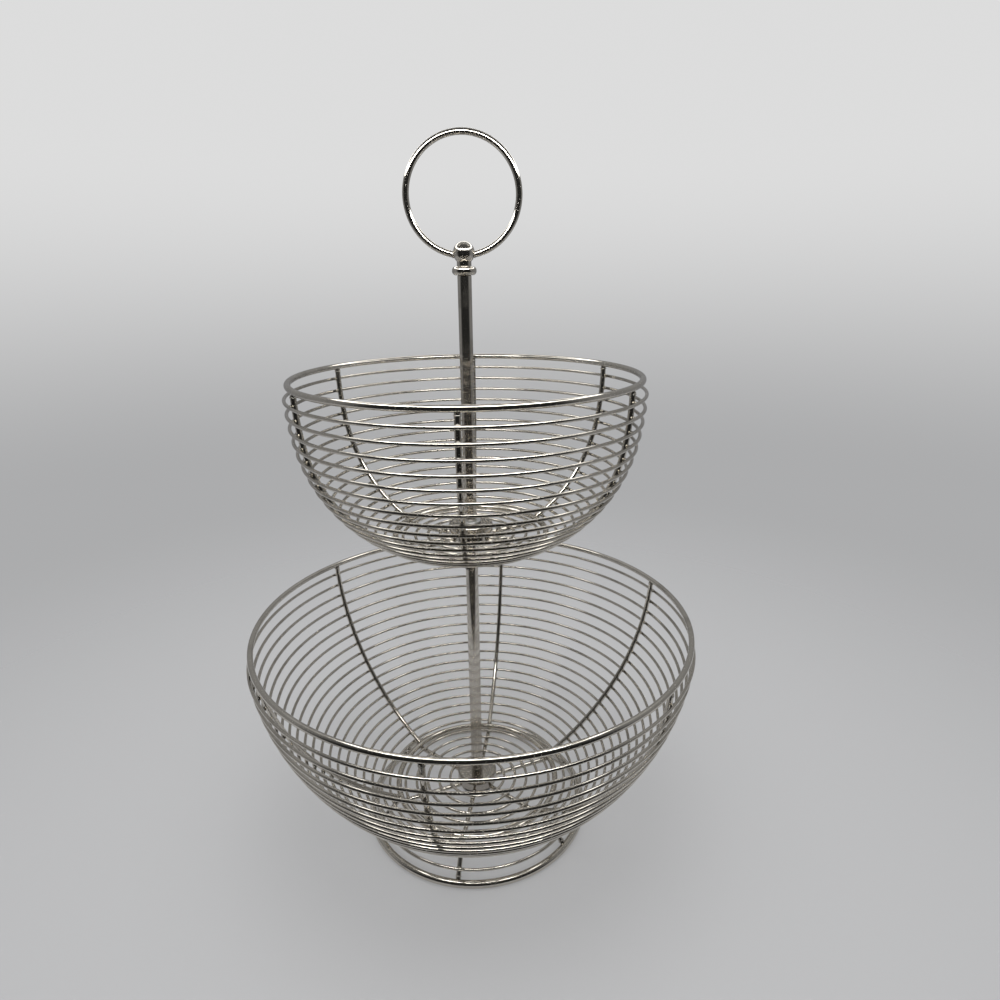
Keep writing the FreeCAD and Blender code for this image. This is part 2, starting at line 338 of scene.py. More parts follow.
def ring_draw_marks():
    """Fine draw marks that follow a ring: thin across the wire, long round the ring's own axis, Z."""
    group, given, out = new_group(
        "ring_draw_marks",
        [("Vector", "NodeSocketVector", None), ("Fineness", "NodeSocketFloat", 9000.0)],
        [("Marks", "NodeSocketFloat")])
    parts = group.nodes.new("ShaderNodeSeparateXYZ")
    group.links.new(given.outputs["Vector"], parts.inputs[0])
    x, y, z = parts.outputs
    angle = calculate(group, "ARCTAN2", y, x)
    joined = group.nodes.new("ShaderNodeCombineXYZ")
    across = given.outputs["Fineness"]
    group.links.new(calculate(group, "MULTIPLY", flat_distance(group, x, y), across), joined.inputs[0])
    group.links.new(calculate(group, "MULTIPLY", z, across), joined.inputs[1])
    group.links.new(calculate(group, "MULTIPLY", angle, MARKS_ROUND_RING), joined.inputs[2])
    marks = noise(group, joined.outputs[0], scale=1.0, detail=3.0, roughness=0.6)
    group.links.new(marks, out.inputs["Marks"])
    return group


def bar_draw_marks():
    """Fine marks along an upright bar."""
    group, given, out = new_group(
        "bar_draw_marks",
        [("Vector", "NodeSocketVector", None), ("Fineness", "NodeSocketFloat", 4500.0)],
        [("Marks", "NodeSocketFloat")])
    stretch = add_node(group, "ShaderNodeVectorMath", operation="MULTIPLY")
    group.links.new(given.outputs["Vector"], stretch.inputs[0])
    sizes = group.nodes.new("ShaderNodeCombineXYZ")
    group.links.new(given.outputs["Fineness"], sizes.inputs[0])
    group.links.new(given.outputs["Fineness"], sizes.inputs[1])
    sizes.inputs[2].default_value = MARKS_ALONG_BAR
    group.links.new(sizes.outputs[0], stretch.inputs[1])
    marks = noise(group, stretch.outputs[0], scale=1.0, detail=3.0, roughness=0.6)
    group.links.new(marks, out.inputs["Marks"])
    return group


def lathe_marks():
    """Fine grooves round an upright turned piece, as a lathe leaves them."""
    group, given, out = new_group(
        "lathe_marks",
        [("Vector", "NodeSocketVector", None), ("Fineness", "NodeSocketFloat", 7000.0)],
        [("Marks", "NodeSocketFloat")])
    parts = group.nodes.new("ShaderNodeSeparateXYZ")
    group.links.new(given.outputs["Vector"], parts.inputs[0])
    x, y, z = parts.outputs
    way = calculate(group, "ADD", flat_distance(group, x, y), z)
    along = calculate(group, "MULTIPLY", way, given.outputs["Fineness"])
    wave = add_node(group, "ShaderNodeTexNoise", noise_dimensions="1D", Scale=1.0, Detail=2.0)
    group.links.new(along, wave.inputs["W"])
    group.links.new(wave.outputs["Fac"], out.inputs["Marks"])
    return group


def plating_wear():
    """Where plating is dull, and small specks of dust and pitting on it."""
    group, given, out = new_group(
        "plating_wear",
        [("Vector", "NodeSocketVector", None), ("Patches", "NodeSocketFloat", 55.0),
         ("Specks", "NodeSocketFloat", 1500.0)],
        [("Dull", "NodeSocketFloat"), ("Specks", "NodeSocketFloat")])
    effects = (("Patches", "Dull", PATCH_EDGE, 4.0), ("Specks", "Specks", SPECK_EDGE, 1.0))
    for scale, result, edge, detail in effects:
        texture = add_node(group, "ShaderNodeTexNoise", Detail=detail)
        group.links.new(given.outputs["Vector"], texture.inputs["Vector"])
        group.links.new(given.outputs[scale], texture.inputs["Scale"])
        group.links.new(spread(group, texture.outputs["Fac"], *edge), out.inputs[result])
    return group


def shared_group(build):
    """The node group that a function builds under its own name, built once."""
    return bpy.data.node_groups.get(build.__name__) or build()


# Finishes

def plated(name, bright, dull, roughness, marks, marks_depth, turn=None, middle=None,
           patches=55.0, pitting=1.0):
    """Plated steel with draw or lathe marks, dull patches and specks.

    The axis of the marks can be turned and moved. Patches says how many of them there are to a metre.
    """
    material = bpy.data.materials.get(name)
    if material:
        return material
    material = bpy.data.materials.new(name)
    material.use_nodes = True
    tree = material.node_tree
    shader = tree.nodes["Principled BSDF"]
    place = tree.nodes.new("ShaderNodeTexCoord").outputs["Object"]
    marks_place = place
    if middle is not None:
        mapping = add_node(tree, "ShaderNodeMapping", vector_type="TEXTURE", Location=middle, Rotation=turn)
        tree.links.new(place, mapping.inputs["Vector"])
        marks_place = mapping.outputs[0]
    lines = add_node(tree, "ShaderNodeGroup", node_tree=shared_group(marks))
    tree.links.new(marks_place, lines.inputs["Vector"])
    wear = add_node(tree, "ShaderNodeGroup", node_tree=shared_group(plating_wear))
    wear.inputs["Patches"].default_value = patches
    tree.links.new(place, wear.inputs["Vector"])
    colour = blend_colours(tree, wear.outputs["Dull"], bright, dull)
    tree.links.new(colour, shader.inputs["Base Color"])
    shader.inputs["Metallic"].default_value = 1.0
    pattern = lines.outputs["Marks"]
    rough = calculate(tree, "MULTIPLY_ADD", pattern, MARKS_ROUGHNESS, roughness - MARKS_BALANCE)
    rough = calculate(tree, "MULTIPLY_ADD", wear.outputs["Dull"], DULL_ROUGHNESS, rough)
    rough = calculate(tree, "MULTIPLY_ADD", wear.outputs["Specks"], SPECK_ROUGHNESS * pitting, rough)
    tree.links.new(rough, shader.inputs["Roughness"])
    height = calculate(tree, "MULTIPLY_ADD", wear.outputs["Specks"], -SPECK_DEPTH * pitting, pattern)
    bump = add_node(tree, "ShaderNodeBump", Strength=0.5, Distance=marks_depth)
    tree.links.new(height, bump.inputs["Height"])
    tree.links.new(bump.outputs["Normal"], shader.inputs["Normal"])
    return material


def ring_wire():
    """Plated wire bent into level rings."""
    finish = bpy.context.scene.basket_finish
    return plated("plated_ring_wire", finish.wire_colour, finish.dull_colour, finish.wire_roughness,
                  ring_draw_marks, marks_depth=0.004 * MM)


def straight_wire():
    """Plated wire of the ribs, spokes and struts."""
    finish = bpy.context.scene.basket_finish
    return plated("plated_straight_wire", finish.wire_colour, finish.dull_colour, finish.wire_roughness,
                  bar_draw_marks, marks_depth=0.004 * MM)


def handle_wire():
    """Plated wire of the upright ring handle, whose marks run round its own middle."""
    finish = bpy.context.scene.basket_finish
    low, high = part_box("ring_handle")
    return plated("plated_handle_wire", finish.wire_colour, finish.dull_colour, finish.wire_roughness,
                  ring_draw_marks, marks_depth=0.004 * MM, turn=(math.pi / 2, 0, 0), middle=(low + high) / 2)


def post_bar():
    """Plated bar of the post."""
    finish = bpy.context.scene.basket_finish
    return plated("plated_post_bar", finish.post_colour, finish.dull_colour, finish.post_roughness,
                  bar_draw_marks, marks_depth=0.006 * MM, patches=90.0, pitting=0.3)


def turned_plating():
    """Plating over lathe-turned faces, darkened with painted shade for the shade under the upper bowl that
    the hubs mirror.
    """
    finish = bpy.context.scene.basket_finish
    return plated("turned_plating", finish.hub_colour, finish.dull_colour, finish.hub_roughness,
                  lathe_marks, marks_depth=0.002 * MM, patches=120.0)


def bead_plating():
    """Plating on the small turned collar and ball."""
    finish = bpy.context.scene.basket_finish
    return plated("bead_plating", finish.post_colour, finish.dull_colour, finish.wire_roughness,
                  lathe_marks, marks_depth=0.003 * MM, patches=160.0)


def zinc():
    """Zinc plating on the fasteners."""
    finish = bpy.context.scene.basket_finish
    return plated("zinc_fastener", finish.zinc_colour, finish.dull_zinc_colour, finish.zinc_roughness,
                  lathe_marks, marks_depth=0.008 * MM, patches=420.0)


def weld_plating():
    """Plating over the welds, darker and duller than on the wires."""
    finish = bpy.context.scene.basket_finish
    return plated("weld_plating", finish.weld_colour, finish.dull_colour, finish.weld_roughness,
                  bar_draw_marks, marks_depth=0.02 * MM, patches=700.0)


# Mesh helpers

# Edges sharper than this stay sharp on turned pieces, and none does on a lump of weld
SHARP_FROM = math.radians(35)
ALL_SMOOTH = math.pi

# Thread depth as a share of the pitch
THREAD_DEPTH = 0.6

# Cross recess as shares of the head's radius, of its own width at the face and of the head's height
RECESS_REACH = 0.48
RECESS_HALF_WIDTH = 0.11
RECESS_TAPER = 0.8
RECESS_DEPTH = 0.55

# Flat strip between the face of the screw's head and its rounding
FLAT_MARGIN = 0.1 * MM


def finish_piece(name, bm, material, body, smooth_angle=SHARP_FROM):
    """Makes an object of a bmesh, smooth up to an angle, and sets it on its body."""
    mesh = bpy.data.meshes.new(name)
    bm.to_mesh(mesh)
    bm.free()
    for face in mesh.polygons:
        face.use_smooth = True
    mesh.set_sharp_from_angle(angle=smooth_angle)
    mesh.materials.append(material)
    piece = bpy.data.objects.new(name, mesh)
    bpy.context.scene.collection.objects.link(piece)
    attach(piece, body)
    return piece


def paint(nodes, material):
    """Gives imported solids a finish."""
    for name in nodes:
        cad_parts[name].material_slots[0].material = material


def add_blob(bm, middle, axes, sizes):
    """A small rounded lump of metal with its half sizes along three axes."""
    turn = Matrix([axis.normalized() for axis in axes]).transposed().to_4x4()
    matrix = Matrix.Translation(middle) @ turn @ Matrix.Diagonal((*sizes, 1))
    bmesh.ops.create_uvsphere(bm, u_segments=8, v_segments=5, radius=1.0, matrix=matrix)


def turned_mesh(outline, steps):
    """A chain of radius, height and rounding spun about the post.

    A chain that starts off the axis is closed.
    """
    bm = bmesh.new()
    corners = [bm.verts.new((radius, 0, height)) for radius, height, _ in outline]
    pairs = list(zip(corners, corners[1:]))
    if outline[0][0] > 0:
        pairs.append((corners[-1], corners[0]))
    for pair in pairs:
        bm.edges.new(pair)
    for corner, (_, _, rounding) in zip(corners, outline):
        if rounding:
            bmesh.ops.bevel(bm, geom=[corner], offset=rounding, offset_type="OFFSET", segments=5, profile=0.5,
                            affect="VERTICES", material=-1)
    spin_round(bm, steps)
    bmesh.ops.recalc_face_normals(bm, faces=bm.faces[:])
    return bm


def spin_round(bm, steps):
    """Spins all that there is once round the post and merges the seam and the poles."""
    bmesh.ops.spin(bm, geom=bm.verts[:] + bm.edges[:], cent=(0, 0, 0), axis=UP, dvec=(0, 0, 0),
                   angle=math.tau, steps=steps, use_merge=True)
    bmesh.ops.remove_doubles(bm, verts=bm.verts[:], dist=SAME_PLACE)


def threaded_rod(low, high, radius, pitch, steps=28):
    """A rod with a helical thread, cut off square and tapered at both ends."""
    root = radius - THREAD_DEPTH * pitch
    turns_below = 2
    turns = math.ceil((high - low) / pitch) + turns_below + 1
    # Root, crest and root of one turn: radius, and height as a share of the pitch
    profile = ((root, 0.0), (root, 0.12), (radius, 0.46), (radius, 0.58), (root, 0.92), (root, 1.0))
    bm = bmesh.new()
    corners = [bm.verts.new((r, 0, low + (share - turns_below) * pitch)) for r, share in profile]
    for pair in zip(corners, corners[1:]):
        bm.edges.new(pair)
    bmesh.ops.spin(bm, geom=bm.verts[:] + bm.edges[:], cent=(0, 0, 0), axis=UP, dvec=(0, 0, pitch / steps),
                   angle=math.tau * turns, steps=steps * turns)
    bmesh.ops.remove_doubles(bm, verts=bm.verts[:], dist=2 * SAME_PLACE)
    for height, way in ((low, -UP), (high, UP)):
        bmesh.ops.bisect_plane(bm, geom=bm.verts[:] + bm.edges[:] + bm.faces[:], plane_co=UP * height,
                               plane_no=way, clear_outer=True, dist=0.1 * SAME_PLACE)
        rim = [edge for edge in bm.edges
               if edge.is_boundary and all(abs(v.co.z - height) < SAME_PLACE for v in edge.verts)]
        bmesh.ops.edgeloop_fill(bm, edges=rim)
    for vertex in bm.verts:
        from_end = min(vertex.co.z - low, high - vertex.co.z)
        flat = vertex.co.xy.length
        most = root + from_end
        if flat > most:
            vertex.co.xy *= most / flat
    bmesh.ops.recalc_face_normals(bm, faces=bm.faces[:])
    return bm


def cross_head(bm, low, high, radius, rounding, steps):
    """Adds a screw's head with a cross recess in its lower face."""
    flat = radius - rounding - FLAT_MARGIN
    head = bmesh.new()
    chain = ((flat, low), (radius, low), (radius, high), (0, high))
    corners = [head.verts.new((r, 0, z)) for r, z in chain]
    for pair in zip(corners, corners[1:]):
        head.edges.new(pair)
    bmesh.ops.bevel(head, geom=[corners[1]], offset=rounding, offset_type="OFFSET", segments=6, profile=0.5,
                    affect="VERTICES", material=-1)
    spin_round(head, steps)
    face_edge = [e for e in head.edges if e.is_boundary]
    reach, half = RECESS_REACH * radius, RECESS_HALF_WIDTH * radius
    cross = []
    for quarter in range(4):
        turn = Matrix.Rotation(quarter * math.pi / 2, 3, "Z")
        for x, y in ((reach, -half), (reach, half), (half, half)):
            cross.append(head.verts.new(turn @ Vector((x, y, low))))
    slot_edge = [head.edges.new(pair) for pair in zip(cross, cross[1:] + cross[:1])]
    bmesh.ops.triangle_fill(head, edges=face_edge + slot_edge, use_beauty=True)
    walls = bmesh.ops.extrude_edge_only(head, edges=slot_edge)["geom"]
    deep = [item for item in walls if isinstance(item, bmesh.types.BMVert)]
    bmesh.ops.scale(head, vec=(RECESS_TAPER, RECESS_TAPER, 1.0), verts=deep)
    bmesh.ops.translate(head, vec=UP * RECESS_DEPTH * (high - low), verts=deep)
    bottom = [item for item in walls
              if isinstance(item, bmesh.types.BMEdge) and all(v in deep for v in item.verts)]
    bmesh.ops.edgeloop_fill(head, edges=bottom)
    bmesh.ops.recalc_face_normals(head, faces=head.faces[:])
    mesh = bpy.data.meshes.new("screw_head")
    head.to_mesh(mesh)
    head.free()
    bm.from_mesh(mesh)
    bpy.data.meshes.remove(mesh)


def half_width(node):
    """Radius of a round upright node."""
    low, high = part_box(node)
    return (high.x - low.x) / 2


def heights(node):
    """Lowest and highest point of a node."""
    low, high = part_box(node)
    return low.z, high.z


# Welds

# Rib beside which the rings are closed
SEAM_RIB = 2

# Rings of one node lie further apart than this
RING_GAP = 1 * MM

# How deep the handle's brazing starts inside the ball, and its length as a share of a weld's depth
BRAZING_START = 0.2 * MM
BRAZING_LENGTH = 1.5


def level_rings(node):
    """Radii of the level rings that one node holds, from the inside out."""
    lengths = sorted(v.co.xy.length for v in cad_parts[node].data.vertices)
    groups = [[lengths[0]]]
    for length in lengths[1:]:
        if length - groups[-1][-1] > RING_GAP:
            groups.append([])
        groups[-1].append(length)
    return [(group[0] + group[-1]) / 2 for group in groups]


def weld_between(bm, angle, first, second, first_wire, second_wire, across, details):
    """A weld round the post where two wires touch, seen in the plane of radius and height."""
    step = Vector(second) - Vector(first)
    reach = step.normalized()
    gap_middle = Vector(first) + reach * (first_wire + step.length - second_wire) / 2
    point, out, side = round_the_post(angle, *gap_middle)
    along = out * reach.x + UP * reach.y
    other = out * -reach.y + UP * reach.x
    wide, tall = (width / 2 + details.weld_spread for width in across)
    add_blob(bm, point, (side, other, along), (wide, tall, details.weld_depth))


def add_wall_welds(bm, bowl, details):
    """Welds between the wall hoops and the ribs."""
    hoops = [ring_size(name) for name in wall_hoops(bowl)]
    rib = wire_of_ribs(bowl)
    for k, (radius, height, wire) in enumerate(hoops):
        above, below = hoops[max(k - 1, 0)], hoops[min(k + 1, len(hoops) - 1)]
        run = Vector((below[0] - above[0], below[1] - above[1])).normalized()
        inward = Vector((run.y, -run.x))
        behind = Vector((radius, height)) + inward * (wire + rib) / 2
        for angle in rib_angles(bowl):
            weld_between(bm, angle, (radius, height), behind, wire, rib, (rib, wire), details)


def add_end_welds(bm, bowl, details):
    """Welds at the two ends of the ribs, under the base ring and under the hub."""
    rim, base = ring_size(bowl + "_rim"), ring_size(bowl + "_base_ring")
    rib = wire_of_ribs(bowl)
    spokes_low, spokes_high = heights(bowl + "_floor_spokes")
    below_rim = (rim[0], rim[1] - rim[2] / 2 - details.weld_depth)
    spoke = (base[0], (spokes_low + spokes_high) / 2)
    last = Vector(ring_size(wall_hoops(bowl)[-1])[:2])
    foot = Vector(base[:2])
    end = foot + (last - foot).normalized() * (base[2] / 2 + details.weld_depth)
    hub_edge = half_width(bowl + "_hub") - details.weld_spread
    hub_face = (hub_edge, heights(bowl + "_hub")[0])
    spoke_top = (hub_edge, spokes_high)
    for angle in rib_angles(bowl):
        weld_between(bm, angle, rim[:2], below_rim, rim[2], 0, (rib, rib), details)
        weld_between(bm, angle, base[:2], spoke, base[2], rib, (rib, base[2] / 2), details)
        weld_between(bm, angle, base[:2], end, base[2], 0, (rib, rib), details)
        weld_between(bm, angle, hub_face, spoke_top, 0, 0, (rib, details.weld_depth), details)


def add_floor_welds(bm, bowl, details):
    """Welds between the floor hoops and the floor spokes."""
    rib = wire_of_ribs(bowl)
    hoops_low, hoops_high = heights(bowl + "_floor_hoops")
    spokes_low, spokes_high = heights(bowl + "_floor_spokes")
    wire = hoops_high - hoops_low
    for radius in level_rings(bowl + "_floor_hoops"):
        hoop = (radius, (hoops_low + hoops_high) / 2)
        spoke = (radius, (spokes_low + spokes_high) / 2)
        for angle in rib_angles(bowl):
            weld_between(bm, angle, hoop, spoke, wire, rib, (rib, wire), details)


def add_foot_welds(bm, details):
    """Welds at the ends of the foot struts and on the foot hoop."""
    base, ring, hoop = ring_size("lower_base_ring"), ring_size("foot_ring"), ring_size("foot_hoop")
    strut = wire_of_ribs("lower")
    top, bottom, middle = Vector(base[:2]), Vector(ring[:2]), Vector(hoop[:2])
    run = (bottom - top).normalized()
    nearest = top + run * (middle - top).dot(run)
    for angle in rib_angles("lower"):
        for end, wire, way in ((top, base[2], run), (bottom, ring[2], -run)):
            beyond = end + way * (wire / 2 + details.weld_depth)
            weld_between(bm, angle, end, beyond, wire, 0, (strut, strut), details)
        weld_between(bm, angle, middle, nearest, hoop[2], strut, (strut, hoop[2]), details)


def add_seam(bm, node, angle, details):
    """The joint that closes a level ring, a little thicker than its wire."""
    radius, height, wire = ring_size(node)
    point, out, side = round_the_post(angle + details.seam_place / radius, radius, height)
    thick = wire / 2 * details.seam_swell
    add_blob(bm, point, (side, out, UP), (details.seam_length, thick, wire / 2))


# Operators

class BASKET_OT_rings(bpy.types.Operator):
    """Finish the rims, base rings, floor hoops and foot rings"""

    bl_idname = "basket.rings"
    bl_label = "Rings"

    def execute(self, context):
        paint(["foot_ring", "foot_hoop"], ring_wire())
        for bowl in BOWL_BODY:
            paint([bowl + "_rim", bowl + "_base_ring", bowl + "_floor_hoops"], ring_wire())
        return {"FINISHED"}


class BASKET_OT_hoops(bpy.types.Operator):
    """Finish the wall hoops"""

    bl_idname = "basket.hoops"
    bl_label = "Wall Hoops"

    def execute(self, context):
        for bowl in BOWL_BODY:
            paint(wall_hoops(bowl), ring_wire())
        return {"FINISHED"}


class BASKET_OT_ribs(bpy.types.Operator):
    """Finish the ribs, floor spokes and foot struts"""

    bl_idname = "basket.ribs"
    bl_label = "Ribs and Spokes"

    def execute(self, context):
        paint(["foot_struts"], straight_wire())
        for bowl in BOWL_BODY:
            paint([bowl + "_ribs", bowl + "_floor_spokes"], straight_wire())
        return {"FINISHED"}


class BASKET_OT_welds(bpy.types.Operator):
    """Weld the wires of the bowls and the foot to each other, and close their rings"""

    bl_idname = "basket.welds"
    bl_label = "Welds"

    def execute(self, context):
        details = context.scene.basket_details
        for bowl, body in BOWL_BODY.items():
            bm = bmesh.new()
            add_wall_welds(bm, bowl, details)
            add_end_welds(bm, bowl, details)
            add_floor_welds(bm, bowl, details)
            finish_piece(bowl + "_welds", bm, weld_plating(), body, ALL_SMOOTH)
            bm = bmesh.new()
            for node in wall_hoops(bowl) + [bowl + "_rim", bowl + "_base_ring"]:
                add_seam(bm, node, rib_angles(bowl)[SEAM_RIB], details)
            finish_piece(bowl + "_ring_seams", bm, ring_wire(), body, ALL_SMOOTH)
        bm = bmesh.new()
        add_foot_welds(bm, details)
        finish_piece("foot_welds", bm, weld_plating(), "lower_tier", ALL_SMOOTH)
        bm = bmesh.new()
        for node in ("foot_ring", "foot_hoop"):
            add_seam(bm, node, rib_angles("lower")[SEAM_RIB], details)
        finish_piece("foot_ring_seams", bm, ring_wire(), "lower_tier", ALL_SMOOTH)
        return {"FINISHED"}


class BASKET_OT_posts(bpy.types.Operator):
    """Turn the two lengths of post, with rounded ends and bores"""

    bl_idname = "basket.posts"
    bl_label = "Posts"

    def execute(self, context):
        details = context.scene.basket_details
        stud_low, stud_high = heights("post_stud")
        screw_top = heights("hub_screw")[1]
        shank_low = heights("finial_ball")[0]
        self.turn("lower_post", "lower_tier", screw_top, stud_low, details)
        self.turn("upper_post", "handle_post", stud_high, shank_low, details)
        return {"FINISHED"}

    def turn(self, node, body, low_screw_end, high_screw_end, details):
        """Turns one length of post, with a bore at each end for the screw in it."""
        low, high = heights(node)
        radius, bore = half_width(node), half_width("post_stud") + details.bore_play
        edge = details.post_rounding
        low_end = low_screw_end + details.bore_spare
        high_end = high_screw_end - details.bore_spare
        outline = [(0, low_end, 0), (bore, low_end, 0), (bore, low, 0), (radius, low, edge),
                   (radius, high, edge), (bore, high, 0), (bore, high_end, 0), (0, high_end, 0)]
        bm = turned_mesh(outline, details.turned_steps)
        piece = finish_piece("turned_" + node, bm, post_bar(), body)
        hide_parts(node)


class BASKET_OT_finial(bpy.types.Operator):
    """Finish the collar, the ball and the ring handle, and braze the handle into the ball"""

    bl_idname = "basket.finial"
    bl_label = "Finial and Handle"

    def execute(self, context):
        details = context.scene.basket_details
        paint(["collar_bead", "finial_ball"], bead_plating())
        paint(["ring_handle"], handle_wire())
        low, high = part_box("ring_handle")
        wire = high.y - low.y
        radius = (high.x - low.x - wire) / 2
        middle = (low + high) / 2
        thick = wire / 2 + details.weld_spread
        sizes = (details.weld_depth * BRAZING_LENGTH, thick, thick)
        bm = bmesh.new()
        for side in (-1, 1):
            angle = math.asin((half_width("finial_ball") - BRAZING_START) / radius) * side
            out = Vector((math.sin(angle), 0, -math.cos(angle)))
            along = Vector((math.cos(angle), 0, math.sin(angle)))
            add_blob(bm, middle + out * radius, (along, out, along.cross(out)), sizes)
        finish_piece("handle_brazing", bm, weld_plating(), "handle_post", ALL_SMOOTH)
        return {"FINISHED"}


class BASKET_OT_hubs(bpy.types.Operator):
    """Finish the hubs"""

    bl_idname = "basket.hubs"
    bl_label = "Hubs"

    def execute(self, context):
        paint(["lower_hub", "upper_hub"], turned_plating())
        return {"FINISHED"}


class BASKET_OT_washers(bpy.types.Operator):
    """Make the two washers, with rolled edges"""

    bl_idname = "basket.washers"
    bl_label = "Washers"

    def execute(self, context):
        details = context.scene.basket_details
        hole = half_width("post_stud") + details.washer_play
        for node, body in (("hub_washer", "lower_tier"), ("clamp_washer", "clamp_washer")):
            low, high = heights(node)
            radius, edge = half_width(node), details.washer_rounding
            outline = [(hole, low, 0), (radius, low, edge), (radius, high, edge), (hole, high, edge / 2)]
            bm = turned_mesh(outline, details.turned_steps)
            piece = finish_piece("rolled_" + node, bm, zinc(), body)
            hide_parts(node)
        return {"FINISHED"}


class BASKET_OT_screws(bpy.types.Operator):
    """Make the threaded stud and the hub screw"""

    bl_idname = "basket.screws"
    bl_label = "Stud and Screw"

    def execute(self, context):
        details = context.scene.basket_details
        radius = half_width("post_stud")
        bm = threaded_rod(*heights("post_stud"), radius, details.thread_pitch)
        piece = finish_piece("threaded_post_stud", bm, zinc(), "lower_tier")
        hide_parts("post_stud")
        low, high = heights("hub_screw")
        under_head = low + details.head_height
        bm = threaded_rod(under_head - details.thread_pitch, high, radius, details.thread_pitch)
        cross_head(bm, low, under_head, half_width("hub_screw"), details.head_rounding, details.turned_steps)
        piece = finish_piece("threaded_hub_screw", bm, zinc(), "lower_tier")
        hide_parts("hub_screw")
        return {"FINISHED"}


class BASKET_OT_stage(bpy.types.Operator):
    """Make the floor, the light and the camera"""

    bl_idname = "basket.stage"
    bl_label = "Stage"

    def execute(self, context):
        stage = context.scene.basket_stage
        make_floor(stage)
        make_world(context.scene, stage)
        make_lamp(context.scene, stage)
        make_ring_lamp(context.scene, stage)
        make_camera(context.scene, stage)
        context.scene.view_settings.view_transform = "Standard"
        return {"FINISHED"}


# Stage

# Distances from the post over which the floor thins out, seen by the camera and by anything else
SEEN_FLOOR_EDGE = (0.22, 0.80)
FLOOR_EDGE = (0.40, 1.30)

# Where the floor, only as the metal mirrors it, turns into a painted dark reflection in front of the basket,
# and the share of the floor's own glow
DARK_FLOOR_EDGE = (-0.17, -0.28)
GLOW_SHARE = 0.4

# Colours of the room that the metal mirrors
FRONT_COLOUR = (0.018, 0.018, 0.018)
SIDES_COLOUR = (0.26, 0.26, 0.262)
LOW_BACK_COLOUR = (0.24, 0.24, 0.245)
HIGH_BACK_COLOUR = (0.30, 0.30, 0.30)
FRONT_CEILING_COLOUR = (0.10, 0.10, 0.10)
BACK_CEILING_COLOUR = (0.50, 0.50, 0.50)

# Where each goes over into the next, as a share of the view direction along Y or Z
BACKGROUND_RISE = (-0.25, 0.15)
BACK_RISE = (0.0, 0.40)
SIDES_TO_BACK = (0.05, 0.85)
SIDES_TO_FRONT = (-0.05, -0.60)
CEILING_TO_BACK = (-0.20, 0.50)
ROOM_TO_CEILING = (0.55, 0.80)

# Bright front arc of the ring lamp as shares of its radius, and the brightness of the rest
RING_FRONT = (-0.50, -0.65)
RING_REST = 0.2
RING_STEPS = 96


def make_floor(stage):
    """A round pale floor that thins out into the background."""
    bm = bmesh.new()
    bmesh.ops.create_circle(bm, cap_ends=True, segments=128, radius=stage.floor_radius)
    mesh = bpy.data.meshes.new("floor")
    bm.to_mesh(mesh)
    bm.free()
    floor = bpy.data.objects.new("floor", mesh)
    bpy.context.scene.collection.objects.link(floor)
    material = bpy.data.materials.new("pale_floor")
    material.use_nodes = True
    tree = material.node_tree
    shader = tree.nodes["Principled BSDF"]
    shader.inputs["Base Color"].default_value = (*stage.floor_colour, 1)
    shader.inputs["Roughness"].default_value = 0.6
    shader.inputs["Specular IOR Level"].default_value = 0.2
    place = tree.nodes.new("ShaderNodeTexCoord").outputs["Object"]
    length = add_node(tree, "ShaderNodeVectorMath", operation="LENGTH")
    tree.links.new(place, length.inputs[0])
    distance = length.outputs["Value"]
    path = tree.nodes.new("ShaderNodeLightPath")
    seen_edge = spread(tree, distance, *SEEN_FLOOR_EDGE)
    seen_far = calculate(tree, "MULTIPLY", path.outputs["Is Camera Ray"], seen_edge)
    far = calculate(tree, "MAXIMUM", spread(tree, distance, *FLOOR_EDGE), seen_far)
    parts = tree.nodes.new("ShaderNodeSeparateXYZ")
    tree.links.new(place, parts.inputs[0])
    # Painted reflection: to glossy rays the floor in front glows dark, for the dark room in front of the
    # basket
    dark_edge = spread(tree, parts.outputs["Y"], *DARK_FLOOR_EDGE)
    dark_reflection_mask = calculate(tree, "MULTIPLY", path.outputs["Is Glossy Ray"], dark_edge)
    glow = add_node(tree, "ShaderNodeEmission", Strength=1.0)
    tree.links.new(blend_colours(tree, dark_reflection_mask, stage.floor_glow, FRONT_COLOUR), glow.inputs["Color"])
    mix = tree.nodes.new("ShaderNodeMixShader")
    tree.links.new(calculate(tree, "MAXIMUM", dark_reflection_mask, GLOW_SHARE), mix.inputs[0])
    tree.links.new(shader.outputs[0], mix.inputs[1])
    tree.links.new(glow.outputs[0], mix.inputs[2])
    edge = tree.nodes.new("ShaderNodeMixShader")
    tree.links.new(far, edge.inputs[0])
    tree.links.new(mix.outputs[0], edge.inputs[1])
    tree.links.new(tree.nodes.new("ShaderNodeBsdfTransparent").outputs[0], edge.inputs[2])
    tree.links.new(edge.outputs[0], tree.nodes["Material Output"].inputs["Surface"])
    mesh.materials.append(material)


